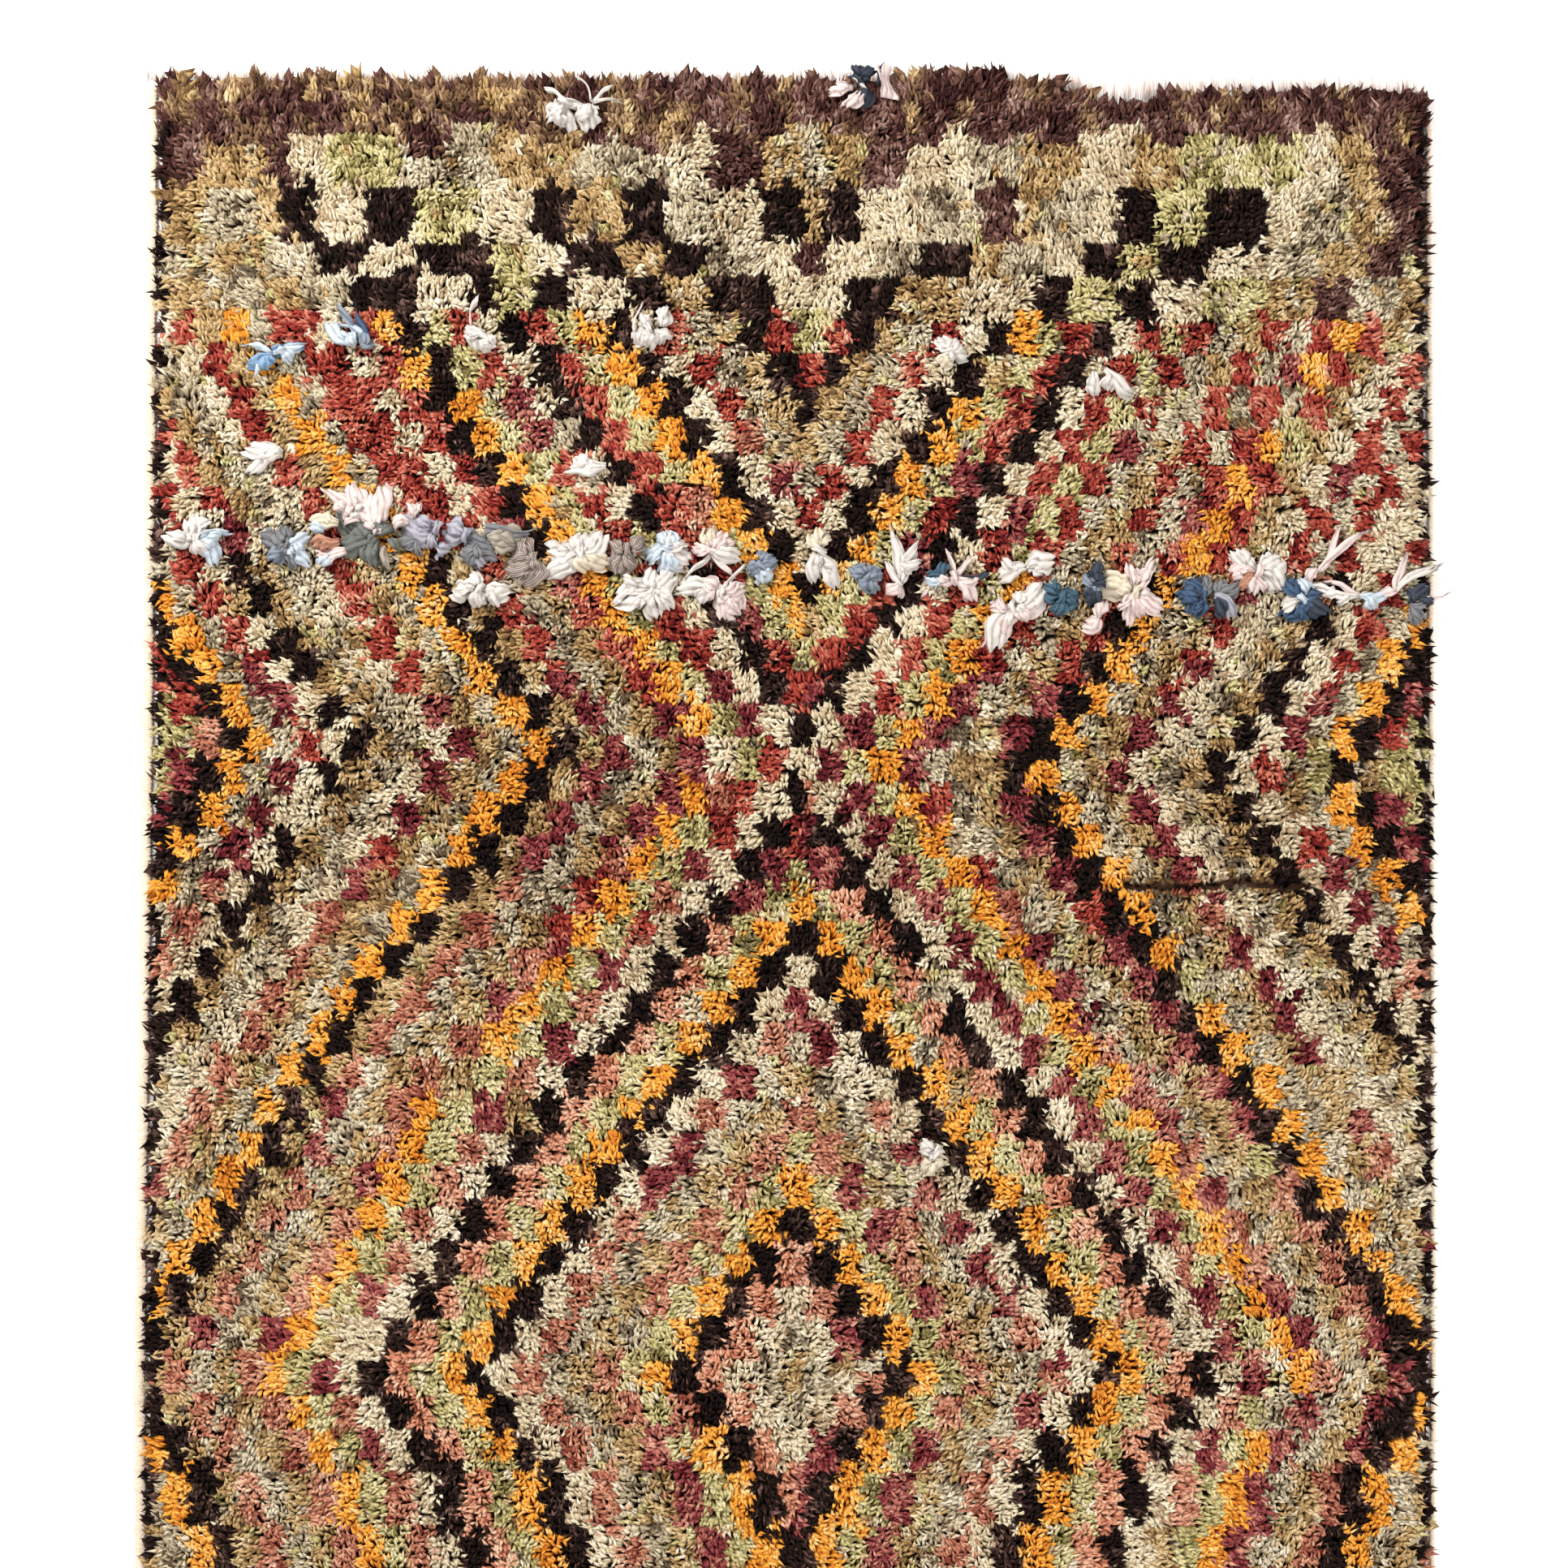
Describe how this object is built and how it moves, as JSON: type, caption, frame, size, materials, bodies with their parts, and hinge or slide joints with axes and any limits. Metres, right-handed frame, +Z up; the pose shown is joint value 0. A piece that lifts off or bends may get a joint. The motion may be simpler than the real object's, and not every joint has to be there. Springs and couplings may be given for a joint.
{
  "type": "tulu runner rug",
  "caption": "Flat shaggy runner rug of long knotted wool in a stepped lozenge pattern, with short warp fringes, side cords and rag strips knotted into the pile.",
  "frame": {"origin": "middle of the rug, on the floor that it lies on", "axes": "+X across the rug, +Y along it towards the end that the row of rag ties is near, +Z up out of the pile"},
  "size_m": [1.1999, 2.41, 0.0394],
  "materials": {
    "wool_pile": "long cut wool pile in many yarn colours",
    "warp_fringe": "loose undyed wool warp ends",
    "side_cord": "overcast undyed wool",
    "rag_white": "worn cotton jersey strip",
    "rag_pinkish": "worn cotton jersey strip",
    "rag_grey_blue": "worn cotton jersey strip",
    "rag_dark_grey": "worn cotton jersey strip",
    "rag_denim": "worn cotton jersey strip",
    "rag_striped": "worn cotton jersey strip"
  },
  "bodies": {
    "root": {"pile_rug": "wool_pile", "fringe_top": "warp_fringe", "fringe_bottom": "warp_fringe", "side_cord_left": "side_cord", "side_cord_right": "side_cord", "rag_tie_01": "rag_white", "rag_tie_02": "rag_white", "rag_tie_03": "rag_grey_blue", "rag_tie_04": "rag_grey_blue", "rag_tie_05": "rag_white", "rag_tie_06": "rag_white", "rag_tie_07": "rag_white", "rag_tie_08": "rag_white", "rag_tie_09": "rag_white", "rag_tie_10": "rag_white", "rag_tie_11": "rag_pinkish", "rag_tie_12": "rag_white", "rag_tie_13": "rag_white", "rag_tie_14": "rag_grey_blue", "rag_tie_15": "rag_dark_grey", "rag_tie_16": "rag_grey_blue", "rag_tie_17": "rag_grey_blue", "rag_tie_18": "rag_striped", "rag_tie_19": "rag_white", "rag_tie_20": "rag_white", "rag_tie_21": "rag_striped", "rag_tie_22": "rag_white", "rag_tie_23": "rag_white", "rag_tie_24": "rag_pinkish", "rag_tie_25": "rag_pinkish", "rag_tie_26": "rag_grey_blue", "rag_tie_27": "rag_white", "rag_tie_28": "rag_grey_blue", "rag_tie_29": "rag_white", "rag_tie_30": "rag_pinkish", "rag_tie_31": "rag_white", "rag_tie_32": "rag_pinkish", "rag_tie_33": "rag_denim", "rag_tie_34": "rag_grey_blue", "rag_tie_35": "rag_pinkish", "rag_tie_36": "rag_pinkish", "rag_tie_37": "rag_denim", "rag_tie_38": "rag_pinkish", "rag_tie_39": "rag_denim", "rag_tie_40": "rag_pinkish", "rag_tie_41": "rag_white", "rag_tie_42": "rag_pinkish", "rag_tie_43": "rag_dark_grey"}
  },
  "joints": []
}
